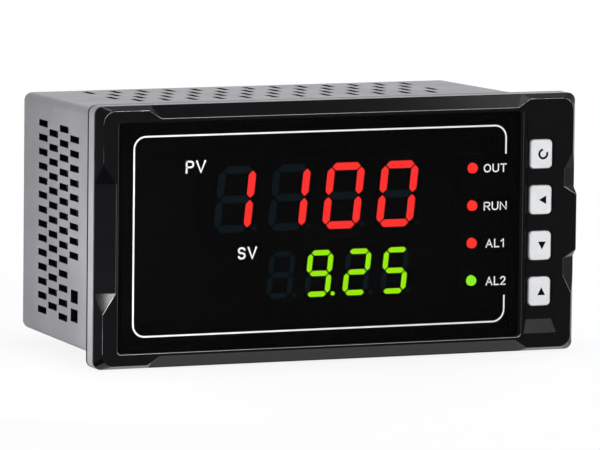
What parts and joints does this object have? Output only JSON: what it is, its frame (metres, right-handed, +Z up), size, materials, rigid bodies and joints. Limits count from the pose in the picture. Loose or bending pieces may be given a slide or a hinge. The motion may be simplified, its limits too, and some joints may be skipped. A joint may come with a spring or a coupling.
{
  "type": "universal panel indicator",
  "caption": "Panel-mounted process indicator with a vented sleeve, faceted bezel, smoked window with two rows of digits, signal lamps and a column of keys.",
  "frame": {"origin": "centre of the sleeve where it passes the panel, on the plane of the flange's rear face", "axes": "+X right and +Z up as seen from the front, +Y back through the panel"},
  "size_m": [0.16, 0.0922, 0.08],
  "materials": {
    "case_grey": "fine grained moulding",
    "gasket_rubber": "moulded",
    "bezel_black": "fine grained moulding",
    "window_smoke": "smoked, satin front",
    "key_white": "satin",
    "switch_black": "satin",
    "segment_red": "cast, lit",
    "segment_green": "cast, lit",
    "segment_dark": "cast, unlit",
    "display_black": "matt",
    "lamp_red": "diffused, lit",
    "lamp_green": "diffused, lit",
    "board_green": "solder mask",
    "screw_steel": "zinc plated",
    "clamp_nickel": "nickel plated",
    "core_iron": "varnished laminations",
    "coil_tape": "wound tape",
    "capacitor_sleeve": "sleeved",
    "relay_blue": "moulded",
    "chip_black": "moulded",
    "terminal_black": "moulded"
  },
  "bodies": {
    "housing": {"rear_case": "case_grey", "panel_gasket": "gasket_rubber", "front_bezel": "bezel_black", "display_window": "window_smoke", "key_switches": "switch_black", "pv_segments_lit": "segment_red", "pv_segments_dark": "segment_dark", "pv_display_housing": "display_black", "sv_segments_lit": "segment_green", "sv_segments_dark": "segment_dark", "sv_display_housing": "display_black", "lamp_out": "lamp_red", "lamp_run": "lamp_red", "lamp_al1": "lamp_red", "lamp_al2": "lamp_green", "lamp_holder": "display_black", "display_board": "board_green", "display_board_screws": "screw_steel", "power_board": "board_green", "signal_board": "board_green", "board_headers": "switch_black", "transformer_core": "core_iron", "transformer_coil": "coil_tape", "bulk_capacitor": "capacitor_sleeve", "filter_capacitors": "capacitor_sleeve", "relays": "relay_blue", "controller_chip": "chip_black", "rear_cover": "case_grey", "rear_cover_screws": "screw_steel", "terminal_block_upper": "terminal_black", "terminal_block_lower": "terminal_black", "terminal_clamps_upper": "clamp_nickel", "terminal_clamps_lower": "clamp_nickel", "terminal_screws_upper": "clamp_nickel", "terminal_screws_lower": "clamp_nickel"},
    "key_cycle": {"key_cycle": "key_white", "plunger_cycle": "switch_black"},
    "key_left": {"key_left": "key_white", "plunger_left": "switch_black"},
    "key_down": {"key_down": "key_white", "plunger_down": "switch_black"},
    "key_up": {"key_up": "key_white", "plunger_up": "switch_black"}
  },
  "joints": [
    {"name": "key_cycle_press", "type": "slide", "parent": "housing", "child": "key_cycle", "axis": [0, 1, 0], "range_m": [0, 0.0005], "stiffness_N_per_m": 1500, "springref_m": -0.0005},
    {"name": "key_left_press", "type": "slide", "parent": "housing", "child": "key_left", "axis": [0, 1, 0], "range_m": [0, 0.0005], "stiffness_N_per_m": 1500, "springref_m": -0.0005},
    {"name": "key_down_press", "type": "slide", "parent": "housing", "child": "key_down", "axis": [0, 1, 0], "range_m": [0, 0.0005], "stiffness_N_per_m": 1500, "springref_m": -0.0005},
    {"name": "key_up_press", "type": "slide", "parent": "housing", "child": "key_up", "axis": [0, 1, 0], "range_m": [0, 0.0005], "stiffness_N_per_m": 1500, "springref_m": -0.0005}
  ]
}
